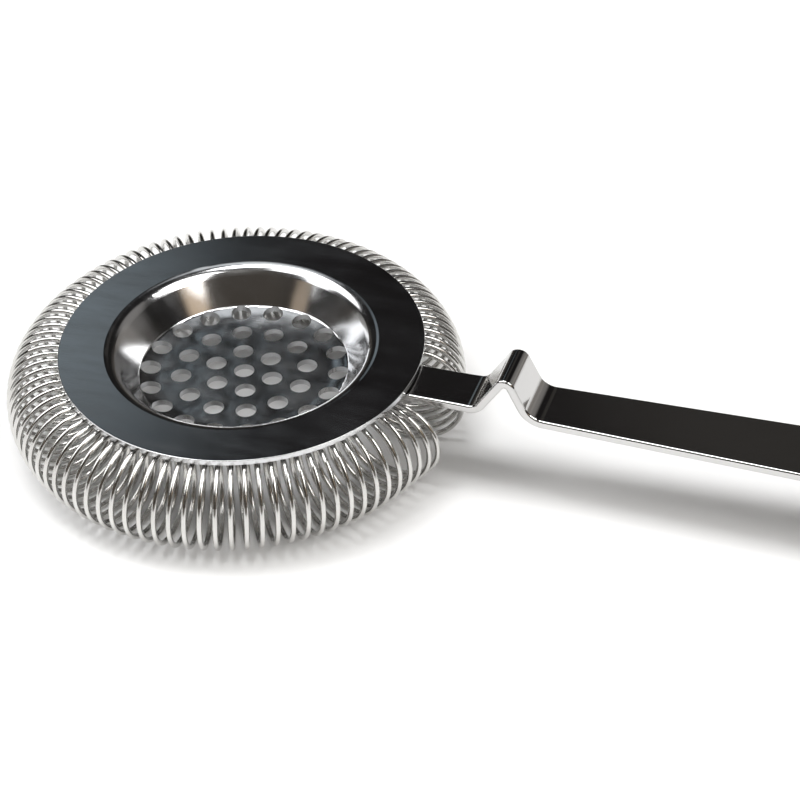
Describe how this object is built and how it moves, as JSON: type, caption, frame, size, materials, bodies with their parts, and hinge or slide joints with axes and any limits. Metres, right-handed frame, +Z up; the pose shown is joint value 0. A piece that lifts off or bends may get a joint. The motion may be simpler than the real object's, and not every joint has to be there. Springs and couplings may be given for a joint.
{
  "type": "hawthorne strainer",
  "caption": "Steel cocktail strainer: a flat rimmed plate with a perforated cup, a coil spring round its underside and a long strap handle with a finger rest.",
  "frame": {"origin": "on the plate's axis, on the surface that the spring stands on", "axes": "+Z up through the plate's top, +X along the handle towards its free end"},
  "size_m": [0.1922, 0.0952, 0.0283],
  "materials": {
    "plate_steel": "fine brushed, bright rim",
    "handle_steel": "polished over fine brushing",
    "spring_wire": "bright drawn wire",
    "eyelet_wire": "bright drawn wire"
  },
  "bodies": {
    "frame": {"strainer_plate": "plate_steel", "handle": "handle_steel", "front_spring_eyelet": "eyelet_wire", "rear_spring_eyelet": "eyelet_wire"},
    "spring": {"coil_spring": "spring_wire"}
  },
  "joints": [
    {"name": "spring_give", "type": "slide", "parent": "frame", "child": "spring", "axis": [1, 0, 0], "range_m": [0, 0.003], "stiffness_N_per_m": 400}
  ]
}
